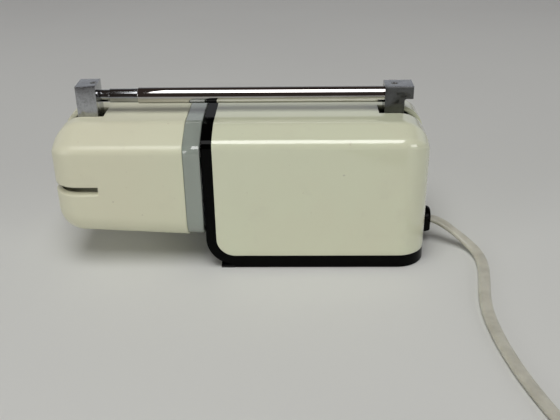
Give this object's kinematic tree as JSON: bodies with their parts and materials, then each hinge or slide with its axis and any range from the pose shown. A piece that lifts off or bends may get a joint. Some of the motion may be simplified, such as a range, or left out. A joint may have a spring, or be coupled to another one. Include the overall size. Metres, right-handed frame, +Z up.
{
  "type": "folding desk lamp",
  "caption": "Folding desk lamp with a boxy weighted base, a telescopic chrome arm on two friction pivots, and a boxy shade that closes against the base.",
  "frame": {"origin": "centre of the folded lamp without its cord, on the surface it stands on", "axes": "+X from the lamp head towards the cord bushing, +Y across the base, +Z up"},
  "size_m": [0.2411, 0.2885, 0.0913],
  "materials": {
    "ivory_plastic": "glossy, slightly yellowed",
    "black_plastic": "semi-gloss",
    "grey_plastic": "semi-gloss",
    "black_rubber": "matt",
    "chrome_plate": "polished",
    "zinc_steel": "plain",
    "core_steel": "stacked laminations, varnished",
    "nylon": "natural",
    "winding_tape": "varnished tape",
    "copper_wire": "enamelled",
    "brass_metal": "plain",
    "phenolic": "moulded",
    "reflector_metal": "bright",
    "clear_glass": "clear",
    "tungsten": "drawn",
    "lead_insulation": "smooth",
    "cord_pvc": "smooth, slightly soiled"
  },
  "bodies": {
    "base": {"base_shell": "ivory_plastic", "base_tray": "black_plastic", "bottom_cover": "black_plastic", "rubber_feet": "black_rubber", "cover_screws": "zinc_steel", "transformer_core": "core_steel", "transformer_bobbin": "nylon", "primary_winding": "winding_tape", "secondary_winding": "copper_wire", "transformer_clamp": "zinc_steel", "transformer_screws": "zinc_steel", "terminal_block": "nylon", "terminal_screws": "brass_metal", "switch_housing": "black_plastic", "mains_leads": "lead_insulation", "secondary_leads": "lead_insulation", "cord_bushing": "black_plastic", "base_yoke": "zinc_steel", "yoke_screws": "zinc_steel", "base_pivot_pin": "zinc_steel", "base_friction_washers": "zinc_steel", "mains_cord": "cord_pvc", "cord_tail": "cord_pvc", "cord_coil": "cord_pvc", "cord_tie": "black_plastic", "plug_body": "cord_pvc", "plug_blades": "brass_metal"},
    "switch_button": {"switch_rocker": "black_plastic"},
    "arm": {"base_bracket": "chrome_plate", "base_set_screw": "zinc_steel", "outer_tube": "chrome_plate"},
    "middle_section": {"middle_tube": "chrome_plate"},
    "inner_section": {"inner_tube": "chrome_plate", "head_bracket": "chrome_plate", "head_set_screw": "zinc_steel"},
    "head": {"head_pivot_pin": "zinc_steel", "head_friction_washers": "zinc_steel", "head_yoke": "zinc_steel", "head_screws": "zinc_steel", "head_shell": "ivory_plastic", "mouth_ring": "grey_plastic", "reflector": "reflector_metal", "socket_bracket": "zinc_steel", "lamp_socket": "brass_metal", "socket_insulator": "phenolic", "lamp_leads": "lead_insulation", "bulb_base": "brass_metal", "bulb_glass": "clear_glass", "bulb_filament": "tungsten"}
  },
  "joints": [
    {"name": "arm_lift", "type": "hinge", "parent": "base", "child": "arm", "pos_m": [0.07615, 0, 0.0658], "axis": [0, 1, 0], "range_deg": [0, 90]},
    {"name": "middle_slide", "type": "slide", "parent": "arm", "child": "middle_section", "axis": [-1, 0, 0], "range_m": [0, 0.095]},
    {"name": "inner_slide", "type": "slide", "parent": "middle_section", "child": "inner_section", "axis": [-1, 0, 0], "range_m": [0, 0.095]},
    {"name": "head_tilt", "type": "hinge", "parent": "inner_section", "child": "head", "pos_m": [-0.0826, 0, 0.0658], "axis": [0, 1, 0], "range_deg": [0, 90]},
    {"name": "switch_rock", "type": "hinge", "parent": "base", "child": "switch_button", "pos_m": [-0.0162, 0, 0.041], "axis": [0, 1, 0], "range_deg": [0, 12]}
  ]
}
